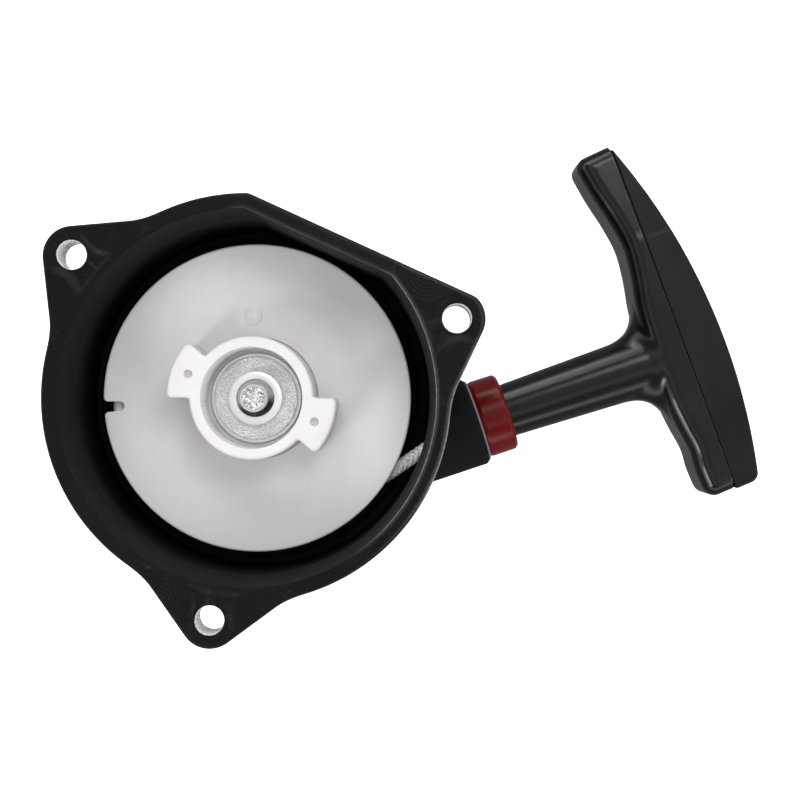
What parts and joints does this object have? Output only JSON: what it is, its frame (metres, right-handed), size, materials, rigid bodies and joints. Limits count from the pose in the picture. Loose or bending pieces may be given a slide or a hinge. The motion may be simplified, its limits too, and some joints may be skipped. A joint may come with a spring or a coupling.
{
  "type": "recoil starter",
  "caption": "Pull-rope recoil starter: a bolt-on bowl with a sprung rope reel, a two-eared drive cam and a T-handle.",
  "frame": {"origin": "centre of the three flange bolts, on the flange face", "axes": "+Z out of the open mouth towards the engine, along the reel's axis; +X the way the rope is pulled; +Y completes the right hand"},
  "size_m": [0.1595, 0.1086, 0.0435],
  "materials": {
    "housing_nylon": "black glass-filled nylon, fine flow lines and scuffs",
    "brass": "turned",
    "zinc_steel": "zinc plated sheet",
    "spring_steel": "blued strip",
    "dark_steel": "blackened",
    "smooth_steel": "smooth zinc plate",
    "grained_steel": "grained, serrated zinc plate",
    "screw_steel": "bright zinc plate",
    "red_plastic": "moulded dark red",
    "rope": "white braid with dark flecks",
    "reel_nylon": "milky natural nylon, satin",
    "cam_acetal": "opaque white acetal",
    "grip_plastic": "glossy black",
    "cap_plastic": "satin black"
  },
  "bodies": {
    "housing": {"housing": "housing_nylon", "post_insert": "brass", "spring_case": "zinc_steel", "main_spring": "spring_steel", "spring_cover": "zinc_steel", "cover_screws": "dark_steel", "thrust_washer": "smooth_steel", "retaining_washer": "grained_steel", "retaining_screw": "screw_steel", "rope_guide": "red_plastic", "rope_run": "rope"},
    "reel": {"reel": "reel_nylon", "rope_coil": "rope", "reel_knot": "rope", "damper_spring": "spring_steel"},
    "cam": {"cam_plate": "cam_acetal"},
    "rope_end": {"rope_pull": "rope", "handle_knot": "rope", "knot_washer": "smooth_steel"},
    "handle": {"handle_grip": "grip_plastic", "handle_cap": "cap_plastic"}
  },
  "joints": [
    {"name": "handle_pull", "type": "slide", "parent": "housing", "child": "rope_end", "axis": [1, 0, 0], "range_m": [0, 0.8], "stiffness_N_per_m": 15, "springref_m": -0.5},
    {"name": "reel_spin", "type": "hinge", "parent": "housing", "child": "reel", "pos_m": [0, 0, 0], "axis": [0, 0, 1], "range_deg": [0, 1440], "deforming": ["main_spring"]},
    {"name": "cam_windup", "type": "hinge", "parent": "reel", "child": "cam", "pos_m": [0, 0, 0], "axis": [0, 0, 1], "range_deg": [-90, 0], "stiffness_Nm_per_rad": 0.3, "springref_deg": 34.38, "deforming": ["damper_spring"]},
    {"name": "handle_swivel", "type": "hinge", "parent": "rope_end", "child": "handle", "pos_m": [0, -0.0225, -0.025], "axis": [1, 0, 0], "range_deg": [-180, 180]}
  ],
  "couplings": [
    {"joint": "reel_spin", "follows": "handle_pull", "rad_per_m": 31.25}
  ]
}
